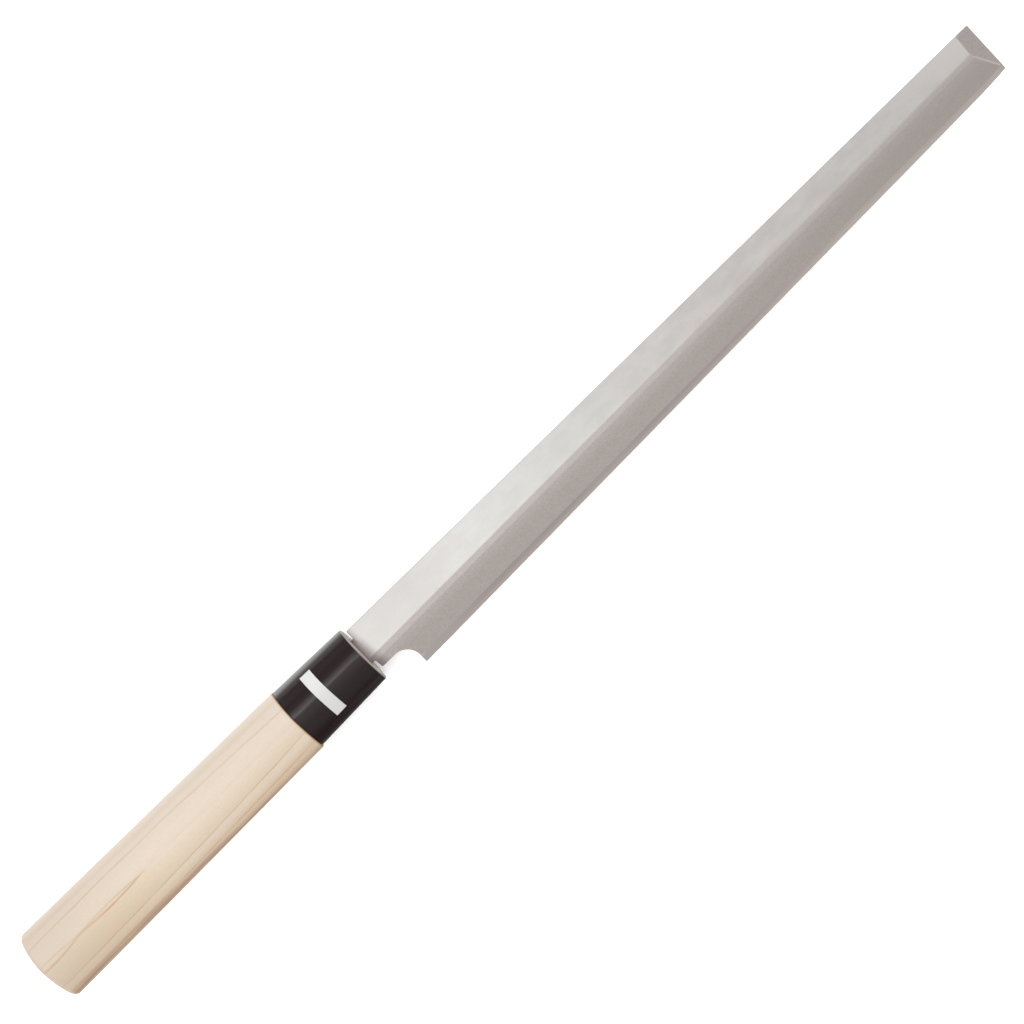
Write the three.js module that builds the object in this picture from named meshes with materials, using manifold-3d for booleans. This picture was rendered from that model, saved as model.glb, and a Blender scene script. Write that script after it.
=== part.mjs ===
// Takohiki: a long single-bevel slicing knife with a square tip and a D-shaped wooden handle.
// Sizes are in millimetres. In the knife's own frame +X runs from the butt to the tip, +Y towards
// the spine and +Z out of the bevelled side. x = 0 is the collar's front face and z = 0 is the
// flat back of the blade. The finished group is tilted as the knife lies on a table.
import * as THREE from 'three';
import { mergeVertices } from 'three/addons/utils/BufferGeometryUtils.js';
import Module from 'manifold-3d';

// Blade, seen from its bevelled side. Heights are measured along Y from the handle's axis.
const shoulderGap = 1.4;
const bladeLength = 270;
const neckLength = 11.05;
const spineHeightHeel = 9.15;
const spineHeightTip = 9.6;
const edgeHeightHeel = -15.1;
const edgeHeightTip = -8.9;
const edgeSweepLength = 14;
const edgeSweepRise = 0.45;
const shinogiHeightHeel = -2.8;
const shinogiHeightTip = 1.7;
const neckUnderside = -6.65;
const choilRadius = 5.4;

// Blade, in section.
const spineThicknessHeel = 3.3;
const spineThicknessTip = 2.1;
const spineEase = 0.3;
const edgeLand = 0.2;
const steelThicknessHeel = 0.85;
const steelThicknessTip = 0.5;
const weldGap = 0.05;
const hollowDepth = 0.25;
const hollowInset = 6;
const hollowRunOut = 18;
const rimWidthEdge = 1.4;
const rimWidthSpine = 2.2;
const facetLength = 5.55;
const facetEndThickness = 0.46;

// Tang inside the handle.
const tangLength = 96;
const tangHeightMouth = 9.7;
const tangHeightEnd = 5.6;
const tangLiftMouth = 1.2;
const tangLiftEnd = 0.1;
const tangThicknessMouth = 2.7;
const tangThicknessEnd = 1.8;
const tangRootLength = 5;
const tangRootInset = 1;
const tangClearance = 0.25;
const tangEndClearance = 1.5;

// Collar and handle. Lifts are the heights of a section's middle above the handle's axis.
const collarLength = 28.8;
const collarHeightFront = 20.8;
const collarHeightRear = 22.4;
const collarThicknessFront = 16.6;
const collarThicknessRear = 17.9;
const collarLiftFront = 0.45;
const collarLiftRear = 0.15;
const collarWall = 1.9;
const collarRimEase = 0.4;
const tenonClearance = 0.2;
const tenonRecess = 0.3;
const seatGap = 0.05;
const gripLength = 110.5;
const gripHeightFront = 23.2;
const gripHeightButt = 25.6;
const gripThicknessFront = 18.6;
const gripThicknessButt = 20.2;
const gripLiftFront = 0;
const gripLiftButt = -0.9;
const gripFrontEase = 0.15;
const buttDome = 1.2;
const buttFlatShare = 0.45;
const buttRimRadius = 1.6;

// The handle's section is an oval, round on the back. On the bevelled side two flatter planes meet
// in a soft ridge, which lies a little to the spine side of the middle.
const ridgeShiftFront = 1.6;
const ridgeShiftButt = 0.7;
const ridgeBend = 1.5;
const ridgeRound = 1.55;
const backBend = 2.2;
const backRound = 2.1;

// Paper label on the collar's bevelled side, put on by hand: a little aslant and off the middle.
const labelWidth = 4.1;
const labelHeight = 15.8;
const labelSetback = 16.8;
const labelDrop = 0.5;
const labelLean = 0.026;
const labelThickness = 0.12;
const labelGap = 0.05;

// Fineness of the round surfaces.
const sectionSides = 40;
const hollowSteps = 6;
const choilSteps = 10;
const buttRings = 5;
const cutMargin = 20;

// Places that follow from the sizes above.
const shoulderX = shoulderGap;
const heelX = shoulderX + neckLength;
const tipX = shoulderX + bladeLength;
const gripFrontX = -collarLength - seatGap;
const buttX = gripFrontX - gripLength;
const handleAxisZ = spineThicknessHeel / 2;

// The knife lies on its tip and on the part of the handle that gives the steepest line from there.
const undersides = [
  [0, collarThicknessFront],
  [-collarLength, collarThicknessRear],
  [gripFrontX - gripFrontEase, gripThicknessFront],
  [buttX, gripThicknessButt],
];
const restTilt = Math.max(...undersides.map(
  ([x, thickness]) => Math.atan2(thickness / 2 - handleAxisZ, tipX - x),
));

const wasm = await Module();
wasm.setup();

const mix = THREE.MathUtils.lerp;
const smooth = THREE.MathUtils.smoothstep;

// Joins rings of equal point counts into one closed surface. The ends are capped, or the last
// ring runs on to the first where the rings go all the way round.
function loft(rings, isLoop = false) {
  const count = rings[0].length;
  const points = rings.flat();
  const triangles = [];
  const spans = isLoop ? rings.length : rings.length - 1;
  for (let r = 0; r < spans; r += 1) {
    const here = r * count;
    const next = ((r + 1) % rings.length) * count;
    for (let i = 0; i < count; i += 1) {
      const j = (i + 1) % count;
      triangles.push([here + i, here + j, next + j], [here + i, next + j, next + i]);
    }
  }
  if (!isLoop) {
    capRing(points, triangles, 0, count, true);
    capRing(points, triangles, (rings.length - 1) * count, count, false);
  }
  return outwardGeometry(points, triangles);
}

// Closes a ring with a fan from its middle.
function capRing(points, triangles, first, count, isStart) {
  const middle = new THREE.Vector3();
  for (let i = 0; i < count; i += 1) {
    middle.addScaledVector(points[first + i], 1 / count);
  }
  points.push(middle);
  const hub = points.length - 1;
  for (let i = 0; i < count; i += 1) {
    const j = (i + 1) % count;
    triangles.push(isStart ? [hub, first + j, first + i] : [hub, first + i, first + j]);
  }
}

// Makes an indexed geometry, turned inside out if its faces pointed inwards.
function outwardGeometry(points, triangles) {
  let volume = 0;
  const cross = new THREE.Vector3();
  for (const [a, b, c] of triangles) {
    volume += points[a].dot(cross.crossVectors(points[b], points[c]));
  }
  const ordered = volume < 0 ? triangles.map(([a, b, c]) => [a, c, b]) : triangles;
  const geometry = new THREE.BufferGeometry();
  geometry.setFromPoints(points);
  geometry.setIndex(ordered.flat());
  return geometry;
}

function toSolid(geometry) {
  const bare = geometry.clone();
  bare.deleteAttribute('normal');
  bare.deleteAttribute('uv');
  const merged = mergeVertices(bare);
  return new wasm.Manifold(new wasm.Mesh({
    numProp: 3,
    vertProperties: new Float32Array(merged.attributes.position.array),
    triVerts: new Uint32Array(merged.index.array),
  }));
}

function toGeometry(solid) {
  const mesh = solid.getMesh();
  const geometry = new THREE.BufferGeometry();
  geometry.setAttribute('position', new THREE.BufferAttribute(mesh.vertProperties, 3));
  geometry.setIndex(new THREE.BufferAttribute(mesh.triVerts, 1));
  return geometry;
}

// A ring of [y, z] pairs standing at one place along the knife.
function ringAt(x, pairs) {
  return pairs.map(([y, z]) => new THREE.Vector3(x, y, z));
}

// Lines and layers of the blade at a place along it.
const alongBlade = (x) => (x - heelX) / (tipX - heelX);
const spineY = (x) => mix(spineHeightHeel, spineHeightTip, alongBlade(x));
const shinogiY = (x) => mix(shinogiHeightHeel, shinogiHeightTip, alongBlade(x));
const bladeTopZ = (x) => mix(spineThicknessHeel, spineThicknessTip, alongBlade(x));
const steelTopZ = (x) => mix(steelThicknessHeel, steelThicknessTip, alongBlade(x));

function edgeY(x) {
  const sweep = Math.max(0, (x - tipX + edgeSweepLength) / edgeSweepLength);
  return mix(edgeHeightHeel, edgeHeightTip, alongBlade(x)) + edgeSweepRise * sweep * sweep;
}

// Where the bevel comes down to a given height above the back.
function bevelY(x, z) {
  const drop = (bladeTopZ(x) - z) / (bladeTopZ(x) - edgeLand);
  return mix(shinogiY(x), edgeY(x), drop);
}

// Depth of the hollow in the back, which runs out towards the neck and the tip.
function hollowAt(x) {
  const fromNeck = smooth(x, heelX, heelX + hollowRunOut);
  const fromTip = 1 - smooth(x, tipX - hollowInset - hollowRunOut, tipX - hollowInset);
  return hollowDepth * fromNeck * fromTip;
}

const bladeStations = [
  shoulderX,
  heelX,
  heelX + hollowRunOut / 2,
  heelX + hollowRunOut,
  tipX - hollowInset - hollowRunOut,
  tipX - edgeSweepLength,
  tipX - edgeSweepLength / 2,
  tipX,
];

function ironRing(x) {
  const top = bladeTopZ(x);
  const weld = steelTopZ(x) + weldGap;
  return ringAt(x, [
    [spineY(x), weld],
    [spineY(x), top - spineEase],
    [spineY(x) - spineEase, top],
    [shinogiY(x), top],
    [bevelY(x, weld), weld],
  ]);
}

function steelRing(x) {
  const weld = steelTopZ(x);
  const rimEdge = edgeY(x) + rimWidthEdge;
  const rimSpine = spineY(x) - rimWidthSpine;
  const back = [];
  for (let i = 0; i <= hollowSteps; i += 1) {
    const across = i / hollowSteps;
    back.push([mix(rimEdge, rimSpine, across), hollowAt(x) * Math.sin(Math.PI * across)]);
  }
  return ringAt(x, [
    [edgeY(x), edgeLand],
    [edgeY(x), 0],
    ...back,
    [spineY(x), 0],
    [spineY(x), weld],
    [bevelY(x, weld), weld],
  ]);
}

// The cut that leaves the neck and the rounded notch in front of the heel.
function choilCutter() {
  const low = edgeHeightHeel - cutMargin;
  const outline = new THREE.Shape();
  outline.moveTo(shoulderX - cutMargin, low);
  outline.lineTo(heelX, low);
  outline.lineTo(heelX, neckUnderside - choilRadius);
  outline.absarc(heelX - choilRadius, neckUnderside - choilRadius, choilRadius, 0, Math.PI / 2);
  outline.lineTo(shoulderX - cutMargin, neckUnderside);
  outline.closePath();
  const geometry = new THREE.ExtrudeGeometry(outline, {
    depth: spineThicknessHeel + 2 * cutMargin,
    bevelEnabled: false,
    curveSegments: choilSteps,
  });
  geometry.translate(0, 0, -cutMargin);
  return toSolid(geometry);
}

// The cut that leaves the sloping facet at the square tip.
function facetCutter() {
  const startX = tipX - facetLength;
  const startZ = bladeTopZ(startX);
  const slope = (facetEndThickness - startZ) / facetLength;
  const endX = tipX + facetLength;
  const endZ = startZ + slope * (endX - startX);
  const highZ = startZ + cutMargin;
  const outline = [[startX, startZ], [endX, endZ], [endX, highZ], [startX, highZ]];
  const rings = [edgeHeightHeel - cutMargin, spineHeightTip + cutMargin].map(
    (y) => outline.map(([x, z]) => new THREE.Vector3(x, y, z)),
  );
  return toSolid(loft(rings));
}

function shapeLayer(ring) {
  const layer = toSolid(loft(bladeStations.map(ring)));
  return layer.subtract(choilCutter()).subtract(facetCutter());
}

// A tapering bar along the tang's line. Growth widens it on every side to make the tang's slot.
function tangRing(x, growth) {
  const inwards = THREE.MathUtils.clamp((shoulderX - x) / (shoulderX + tangLength), 0, 1);
  const lift = mix(tangLiftMouth, tangLiftEnd, inwards);
  const halfHeight = mix(tangHeightMouth, tangHeightEnd, inwards) / 2 + growth;
  const halfThickness = mix(tangThicknessMouth, tangThicknessEnd, inwards) / 2 + growth;
  return ringAt(x, [
    [lift - halfHeight, handleAxisZ - halfThickness],
    [lift + halfHeight, handleAxisZ - halfThickness],
    [lift + halfHeight, handleAxisZ + halfThickness],
    [lift - halfHeight, handleAxisZ + halfThickness],
  ]);
}

function tangSolid() {
  return toSolid(loft([tangRing(-tangLength, 0), tangRing(shoulderX, 0)]));
}

// The part of the tang that runs on into the iron above the weld.
function tangRoot() {
  const startX = shoulderX - tangRootLength;
  const endX = shoulderX + tangRootLength;
  const bottom = steelTopZ(shoulderX) + 2 * weldGap;
  const top = handleAxisZ + tangThicknessMouth / 2 - weldGap;
  const halfHeight = tangHeightMouth / 2 - tangRootInset;
  const ring = (x) => ringAt(x, [
    [tangLiftMouth - halfHeight, bottom],
    [tangLiftMouth + halfHeight, bottom],
    [tangLiftMouth + halfHeight, top],
    [tangLiftMouth - halfHeight, top],
  ]);
  return toSolid(loft([ring(startX), ring(endX)]));
}

function tangSlot() {
  const places = [-tangLength - tangEndClearance, -tangLength, shoulderX, cutMargin];
  return toSolid(loft(places.map((x) => tangRing(x, tangClearance))));
}

function bladeGeometry() {
  return toGeometry(shapeLayer(ironRing).add(tangRoot()).add(tangSolid()));
}

function edgeSteelGeometry() {
  const layer = shapeLayer(steelRing);
  const rearTrim = new THREE.BoxGeometry(cutMargin, 4 * cutMargin, 4 * cutMargin);
  rearTrim.translate(shoulderX + weldGap - cutMargin / 2, 0, 0);
  return toGeometry(layer.subtract(toSolid(rearTrim)));
}

// A point on the handle's section. Angle 0 is on the spine side and a quarter turn is on the ridge.
function sectionPoint(section, angle) {
  const across = Math.cos(angle);
  const isRidgeSide = Math.sin(angle) >= 0;
  const bend = isRidgeSide ? ridgeBend : backBend;
  const round = isRidgeSide ? ridgeRound : backRound;
  const reach = Math.max(0, 1 - Math.abs(across) ** bend) ** (1 / round);
  const shift = isRidgeSide ? section.ridgeShift * (1 - across * across) : 0;
  return [
    section.lift + shift + (across * section.height) / 2,
    handleAxisZ + (isRidgeSide ? 1 : -1) * reach * section.thickness / 2,
  ];
}

function sectionRing(x, section) {
  const pairs = [];
  for (let i = 0; i < sectionSides; i += 1) {
    pairs.push(sectionPoint(section, (2 * Math.PI * i) / sectionSides));
  }
  return ringAt(x, pairs);
}

function shrink(section, amount) {
  return { ...section, height: section.height - 2 * amount, thickness: section.thickness - 2 * amount };
}

function collarSection(x) {
  const rearwards = -x / collarLength;
  return {
    height: mix(collarHeightFront, collarHeightRear, rearwards),
    thickness: mix(collarThicknessFront, collarThicknessRear, rearwards),
    lift: mix(collarLiftFront, collarLiftRear, rearwards),
    ridgeShift: ridgeShiftFront,
  };
}

function gripSection(x) {
  const rearwards = (gripFrontX - x) / gripLength;
  return {
    height: mix(gripHeightFront, gripHeightButt, rearwards),
    thickness: mix(gripThicknessFront, gripThicknessButt, rearwards),
    lift: mix(gripLiftFront, gripLiftButt, rearwards),
    ridgeShift: mix(ridgeShiftFront, ridgeShiftButt, rearwards),
  };
}

// The collar is a ring, so its rings run along the outside and back along the bore.
function collarGeometry() {
  const rearX = -collarLength;
  const bore = (x) => sectionRing(x, shrink(collarSection(x), collarWall));
  return loft([
    sectionRing(0, shrink(collarSection(0), collarRimEase)),
    sectionRing(-collarRimEase, collarSection(-collarRimEase)),
    sectionRing(rearX, collarSection(rearX)),
    bore(rearX),
    bore(0),
  ], true);
}

function buttSections() {
  const rings = [];
  for (let i = 0; i < buttRings; i += 1) {
    const turn = (Math.PI / 2) * (i / (buttRings - 1));
    const x = buttX + buttDome + buttRimRadius * (1 - Math.sin(turn));
    rings.push(sectionRing(x, shrink(gripSection(x), buttRimRadius * (1 - Math.cos(turn)))));
  }
  const end = gripSection(buttX);
  const flat = { ...end, height: end.height * buttFlatShare, thickness: end.thickness * buttFlatShare };
  rings.push(sectionRing(buttX, flat));
  return rings.reverse();
}

function handleGeometry() {
  const tenon = (x) => shrink(collarSection(x), collarWall + tenonClearance);
  const rings = [
    ...buttSections(),
    sectionRing(gripFrontX - gripFrontEase, gripSection(gripFrontX - gripFrontEase)),
    sectionRing(gripFrontX, shrink(gripSection(gripFrontX), gripFrontEase)),
    sectionRing(gripFrontX, tenon(gripFrontX)),
    sectionRing(-tenonRecess, tenon(-tenonRecess)),
  ];
  return toGeometry(toSolid(loft(rings)).subtract(tangSlot()));
}

// A thin strip that follows the collar's outside from its spine side over the ridge.
function labelGeometry() {
  const halfHeight = collarSection(-labelSetback).height / 2;
  const firstAngle = Math.acos((labelHeight / 2 - labelDrop) / halfHeight);
  const lastAngle = Math.acos((-labelHeight / 2 - labelDrop) / halfHeight);
  const angles = [firstAngle];
  const step = (2 * Math.PI) / sectionSides;
  for (let angle = Math.ceil(firstAngle / step) * step; angle < lastAngle; angle += step) {
    angles.push(angle);
  }
  angles.push(lastAngle);
  const inside = (x, angle) => raisedPoint(x, angle, labelGap);
  const outside = (x, angle) => raisedPoint(x, angle, labelGap + labelThickness);
  return loft(angles.map((angle) => {
    const middleX = -labelSetback - labelLean * halfHeight * Math.cos(angle);
    const rearX = middleX - labelWidth / 2;
    const frontX = middleX + labelWidth / 2;
    return [inside(rearX, angle), inside(frontX, angle), outside(frontX, angle), outside(rearX, angle)];
  }));
}

// A point above the collar's outside, measured along the surface normal.
function raisedPoint(x, angle, rise) {
  const section = collarSection(x);
  const nudge = 0.02;
  const [y, z] = sectionPoint(section, angle);
  const [yBefore, zBefore] = sectionPoint(section, angle - nudge);
  const [yAfter, zAfter] = sectionPoint(section, angle + nudge);
  const normal = new THREE.Vector2(zAfter - zBefore, yBefore - yAfter).normalize();
  return new THREE.Vector3(x, y + normal.x * rise, z + normal.y * rise);
}

const finishes = {
  iron: { color: '#b9b3ae', roughness: 0.45, metalness: 1 },
  steel: { color: '#c3bcb7', roughness: 0.3, metalness: 1 },
  wood: { color: '#e4d2b8', roughness: 0.75, metalness: 0 },
  plastic: { color: '#332d2d', roughness: 0.4, metalness: 0 },
  paper: { color: '#eceae8', roughness: 0.85, metalness: 0 },
};

function addPiece(group, name, geometry, finish) {
  const flat = geometry.toNonIndexed();
  flat.computeVertexNormals();
  const piece = new THREE.Mesh(flat, new THREE.MeshStandardMaterial(finishes[finish]));
  piece.name = name;
  group.add(piece);
}

const knife = new THREE.Group();
addPiece(knife, 'blade', bladeGeometry(), 'iron');
addPiece(knife, 'edge_steel', edgeSteelGeometry(), 'steel');
addPiece(knife, 'handle', handleGeometry(), 'wood');
addPiece(knife, 'collar', collarGeometry(), 'plastic');
addPiece(knife, 'label', labelGeometry(), 'paper');

// The origin is on the table, under the middle of the knife's box.
knife.rotation.y = restTilt;
const model = new THREE.Group();
model.add(knife);
const box = new THREE.Box3().setFromObject(model, true);
const middle = box.getCenter(new THREE.Vector3());
knife.position.set(-middle.x, -middle.y, -box.min.z);

export default model;
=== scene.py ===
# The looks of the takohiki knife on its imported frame: fine meshes, finishes, light and camera.
import math
from collections import namedtuple

import bpy
import numpy as np
from mathutils import Matrix, Vector
from mathutils.geometry import delaunay_2d_cdt


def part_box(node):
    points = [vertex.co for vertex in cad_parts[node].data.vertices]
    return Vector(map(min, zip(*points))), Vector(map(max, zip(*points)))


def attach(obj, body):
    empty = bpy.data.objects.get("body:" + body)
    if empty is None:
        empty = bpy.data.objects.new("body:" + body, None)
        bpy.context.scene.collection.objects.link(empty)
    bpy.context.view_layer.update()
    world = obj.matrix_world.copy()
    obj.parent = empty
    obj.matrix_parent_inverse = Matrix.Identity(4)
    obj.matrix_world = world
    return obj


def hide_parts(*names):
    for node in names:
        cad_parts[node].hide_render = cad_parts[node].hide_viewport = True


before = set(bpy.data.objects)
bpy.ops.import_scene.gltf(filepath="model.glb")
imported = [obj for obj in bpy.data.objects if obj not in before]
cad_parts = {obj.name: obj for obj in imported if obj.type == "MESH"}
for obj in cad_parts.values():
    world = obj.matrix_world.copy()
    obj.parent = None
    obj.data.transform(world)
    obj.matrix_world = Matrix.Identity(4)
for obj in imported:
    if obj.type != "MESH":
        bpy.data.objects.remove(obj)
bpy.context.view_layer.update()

# Sizes are in millimetres, in the knife's own frame: +X from the butt to the tip, +Y towards the
# spine, +Z out of the bevelled side, x = 0 at the collar's front and z = 0 on the blade's back.
MILLIMETRE = 0.001

# Blade, seen from its bevelled side. Heights are measured along Y from the handle's axis.
SHOULDER_X = 1.4
SHOULDER_SLANT = 0.03
BLADE_LENGTH = 270.0
NECK_LENGTH = 11.05
SPINE_HEIGHT_HEEL = 9.15
SPINE_HEIGHT_TIP = 9.6
EDGE_HEIGHT_HEEL = -15.1
EDGE_HEIGHT_TIP = -8.9
EDGE_SWEEP_LENGTH = 14.0
EDGE_SWEEP_RISE = 0.45
SHINOGI_HEIGHT_HEEL = -2.8
SHINOGI_HEIGHT_TIP = 1.7
NECK_UNDERSIDE = -6.65
CHOIL_RADIUS = 5.4
TIP_SLANT = 0.45
UPPER_SHOULDER_RADIUS = 0.45
LOWER_SHOULDER_RADIUS = 0.5
TANG_FILLET = 0.4
TANG_END_RADIUS = 0.8

# Blade, in section.
SPINE_THICKNESS_HEEL = 3.3
SPINE_THICKNESS_TIP = 2.1
EDGE_LAND = 0.06
STEEL_THICKNESS_HEEL = 0.75
STEEL_THICKNESS_TIP = 0.40
SHINOGI_WEAR = 0.12
SHINOGI_SOFTNESS_HEEL = 0.032
SHINOGI_SOFTNESS_TIP = 0.09
EDGE_EASE = 0.22
BACK_EASE = 0.2
BACK_EASE_SHARE = 0.8
FACET_LENGTH = 5.55
FACET_END_THICKNESS = 0.46
FACET_SOFTNESS = 0.11
IRON_CORNER_CUT = 0.4
FACET_TILT = 0.026
FACET_PIVOT = 6.0
HOLLOW_DEPTH = 0.25
HOLLOW_INSET = 6.0
HOLLOW_RUN_OUT = 18.0
RIM_WIDTH_EDGE = 1.4
RIM_WIDTH_SPINE = 2.2

# Tang inside the handle.
TANG_LENGTH = 96.0
TANG_HEIGHT_MOUTH = 9.7
TANG_HEIGHT_END = 5.6
TANG_LIFT_MOUTH = 1.2
TANG_LIFT_END = 0.1
TANG_THICKNESS_MOUTH = 2.7
TANG_THICKNESS_END = 1.8
TANG_ROOT_LENGTH = 3.0
SLOT_CLEARANCE = 0.08
SLOT_END_CLEARANCE = 1.5

# Collar and handle. A section's lift is the height of its middle above the handle's axis.
Section = namedtuple("Section", "height thickness lift ridge_shift")
COLLAR_FRONT = Section(20.8, 16.6, 0.45, 1.6)
COLLAR_REAR = Section(22.4, 17.9, 0.15, 1.6)
COLLAR_LENGTH = 28.8
COLLAR_WALL = 1.9
COLLAR_RIM_EASE = 0.4
TENON_CLEARANCE = 0.04
TENON_RECESS = 0.05
SEAT_GAP = 0.05
GRIP_FRONT = Section(23.2, 18.6, 0.0, 1.6)
GRIP_BUTT = Section(25.6, 20.2, -0.9, 0.7)
GRIP_LENGTH = 110.5
GRIP_FRONT_EASE = 0.15
BUTT_DOME = 1.2
BUTT_DOME_POWER = 3
BUTT_RIM_RADIUS = 1.6
RIDGE_BEND = 1.5
RIDGE_ROUND = 1.55
RIDGE_EASE = 0.06
BACK_BEND = 2.2
BACK_ROUND = 2.1

# Paper label on the collar's bevelled side.
LABEL_WIDTH = 4.1
LABEL_HEIGHT = 15.8
LABEL_SETBACK = 16.8
LABEL_DROP = 0.5
LABEL_THICKNESS = 0.12
LABEL_GAP = 0.03
LABEL_LEAN = 0.026

# Fineness of the meshes. Shares tell where extra lines run between two lines of the blade.
STATION_STEP = 3.0
STATION_END_GAP = 1.0
ARC_STEPS = 18
EASE_STEPS = 5
EDGE_POINTS = 100
TIP_POINTS = 40
FLAT_SHARES = (0.4, 0.7)
BEVEL_SHARES = (0.35, 0.65, 0.9)
BAND_SHARES = (0.3, 0.6, 0.9, 1.0, 1.1)
HOLLOW_LINES = 15
SHINOGI_LINES = 19
SHINOGI_SPREAD = 1.8
FACET_LINES = 9
FACET_SPREAD = 0.5
FACET_POINTS = 60
HALVINGS = 40
SECTION_SIDES = 144
RIDGE_SIDE_POINTS = 181
RIM_STEPS = 6
BUTT_RINGS = 8
BUTT_HUB_SHARE = 0.05
GRIP_RINGS = 32
TENON_RINGS = 6
TENON_FACE_SHARES = (0.25, 0.5, 0.75)
COLLAR_RINGS = 12
LABEL_RINGS = 61
LABEL_POINTS = 7
SEAM = 0.004
LINE_CLEARANCE = 0.015
MERGE_DISTANCE = 1e-5
SMOOTH_RIM_ANGLE = 35
SHARP_WOOD_ANGLE = 32
SHARP_ANGLE = 40

# Places that follow from the sizes above.
HEEL_X = SHOULDER_X + NECK_LENGTH
TIP_X = SHOULDER_X + BLADE_LENGTH
FACET_X = TIP_X - FACET_LENGTH
GRIP_FRONT_X = -COLLAR_LENGTH - SEAT_GAP
BUTT_X = GRIP_FRONT_X - GRIP_LENGTH
BUTT_RIM_X = BUTT_X + BUTT_DOME + BUTT_RIM_RADIUS
SLOT_END_X = -TANG_LENGTH - SLOT_END_CLEARANCE
HANDLE_AXIS_Z = SPINE_THICKNESS_HEEL / 2

# The knife lies on its tip and on the part of the handle that gives the steepest line from there.
UNDERSIDES = [
    (0.0, COLLAR_FRONT.thickness),
    (-COLLAR_LENGTH, COLLAR_REAR.thickness),
    (GRIP_FRONT_X - GRIP_FRONT_EASE, GRIP_FRONT.thickness),
    (BUTT_X, GRIP_BUTT.thickness),
]
REST_TILT = max(math.atan2(depth / 2 - HANDLE_AXIS_Z, TIP_X - x) for x, depth in UNDERSIDES)


def knife_placement():
    """The matrix from the knife's own frame to the table, in metres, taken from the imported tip."""
    low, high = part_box("edge_steel")
    turn = Matrix.Rotation(REST_TILT, 4, "Y")
    corner = turn @ (Vector((TIP_X, SPINE_HEIGHT_TIP, FACET_END_THICKNESS)) * MILLIMETRE)
    foot = turn @ (Vector((TIP_X, 0.0, 0.0)) * MILLIMETRE)
    shift = Vector((high.x - corner.x, high.y - corner.y, low.z - foot.z))
    return Matrix.Translation(shift) @ turn


PLACEMENT = knife_placement()


def mix(first, last, share):
    return first + (last - first) * share


def smooth_step(value, low, high):
    share = np.clip((value - low) / (high - low), 0.0, 1.0)
    return share * share * (3.0 - 2.0 * share)


def unit(vectors):
    return vectors / np.linalg.norm(vectors, axis=-1, keepdims=True)


def soft_min(first, second, softness):
    """The lower of two heights, with the corner between them rounded off."""
    nearness = np.maximum(softness - np.abs(first - second), 0.0)
    return np.minimum(first, second) - nearness ** 2 / (4.0 * softness)


# Lines and layers of the blade at a place along it.
def along_blade(x):
    return (x - HEEL_X) / (TIP_X - HEEL_X)


def tapered(heel, tip):
    """A straight line along the blade from its value at the heel to its value at the tip."""
    return lambda x: mix(heel, tip, along_blade(x))


spine_y = tapered(SPINE_HEIGHT_HEEL, SPINE_HEIGHT_TIP)
shinogi_y = tapered(SHINOGI_HEIGHT_HEEL, SHINOGI_HEIGHT_TIP)
straight_edge_y = tapered(EDGE_HEIGHT_HEEL, EDGE_HEIGHT_TIP)
flat_z = tapered(SPINE_THICKNESS_HEEL, SPINE_THICKNESS_TIP)
weld_z = tapered(STEEL_THICKNESS_HEEL, STEEL_THICKNESS_TIP)


def edge_y(x):
    sweep = np.maximum(0.0, (x - TIP_X + EDGE_SWEEP_LENGTH) / EDGE_SWEEP_LENGTH)
    return straight_edge_y(x) + EDGE_SWEEP_RISE * sweep ** 2


def bevel_z(x, y):
    share = (y - edge_y(x)) / (shinogi_y(x) - edge_y(x))
    return mix(EDGE_LAND, flat_z(x), share)


def band_y(x):
    """Height of the line on the bevel where the hard steel comes out from under the iron."""
    share = (weld_z(x) - EDGE_LAND) / (flat_z(x) - EDGE_LAND)
    return mix(edge_y(x), shinogi_y(x), share)


def facet_slope():
    return (flat_z(FACET_X) - FACET_END_THICKNESS) / FACET_LENGTH


def facet_z(x, y):
    return flat_z(FACET_X) - facet_slope() * (x - FACET_X) + FACET_TILT * (y - FACET_PIVOT)


def tip_x(y):
    share = (SPINE_HEIGHT_TIP - y) / (SPINE_HEIGHT_TIP - EDGE_HEIGHT_TIP)
    return TIP_X - TIP_SLANT * share


def shoulder_x(y):
    return SHOULDER_X - SHOULDER_SLANT * y


def blade_top(x, y):
    """Height of the flat, the worn strip below it, the bevel and the facet at the tip."""
    softness = mix(SHINOGI_SOFTNESS_HEEL, SHINOGI_SOFTNESS_TIP, np.clip(along_blade(x), 0.0, 1.0))
    worn = mix(flat_z(x), bevel_z(x, y), 0.5) - SHINOGI_WEAR
    ground = soft_min(flat_z(x), worn, softness)
    ground = soft_min(ground, bevel_z(x, y), softness)
    return soft_min(ground, facet_z(x, y), FACET_SOFTNESS)


def facet_border(y):
    """Where the tip's facet meets the flat or the bevel at each height."""
    low = np.full_like(y, FACET_X - FACET_LENGTH)
    high = np.full_like(y, TIP_X + FACET_LENGTH)
    for _ in range(HALVINGS):
        middle = (low + high) / 2
        is_before = facet_z(middle, y) > np.minimum(flat_z(middle), bevel_z(middle, y))
        low = np.where(is_before, middle, low)
        high = np.where(is_before, high, middle)
    return low


def facet_weld_x(y):
    """Where the tip's facet cuts down to the weld at each height."""
    fall = facet_slope() + weld_z(1.0) - weld_z(0.0)
    return (facet_z(0.0, y) - weld_z(0.0)) / fall


def tang_share(x):
    return np.clip((SHOULDER_X - x) / (SHOULDER_X + TANG_LENGTH), 0.0, 1.0)


def tang_y(x, side):
    half = mix(TANG_HEIGHT_MOUTH, TANG_HEIGHT_END, tang_share(x)) / 2
    return mix(TANG_LIFT_MOUTH, TANG_LIFT_END, tang_share(x)) + side * half


def tang_z(x, side):
    half = mix(TANG_THICKNESS_MOUTH, TANG_THICKNESS_END, tang_share(x)) / 2
    return HANDLE_AXIS_Z + side * half


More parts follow.
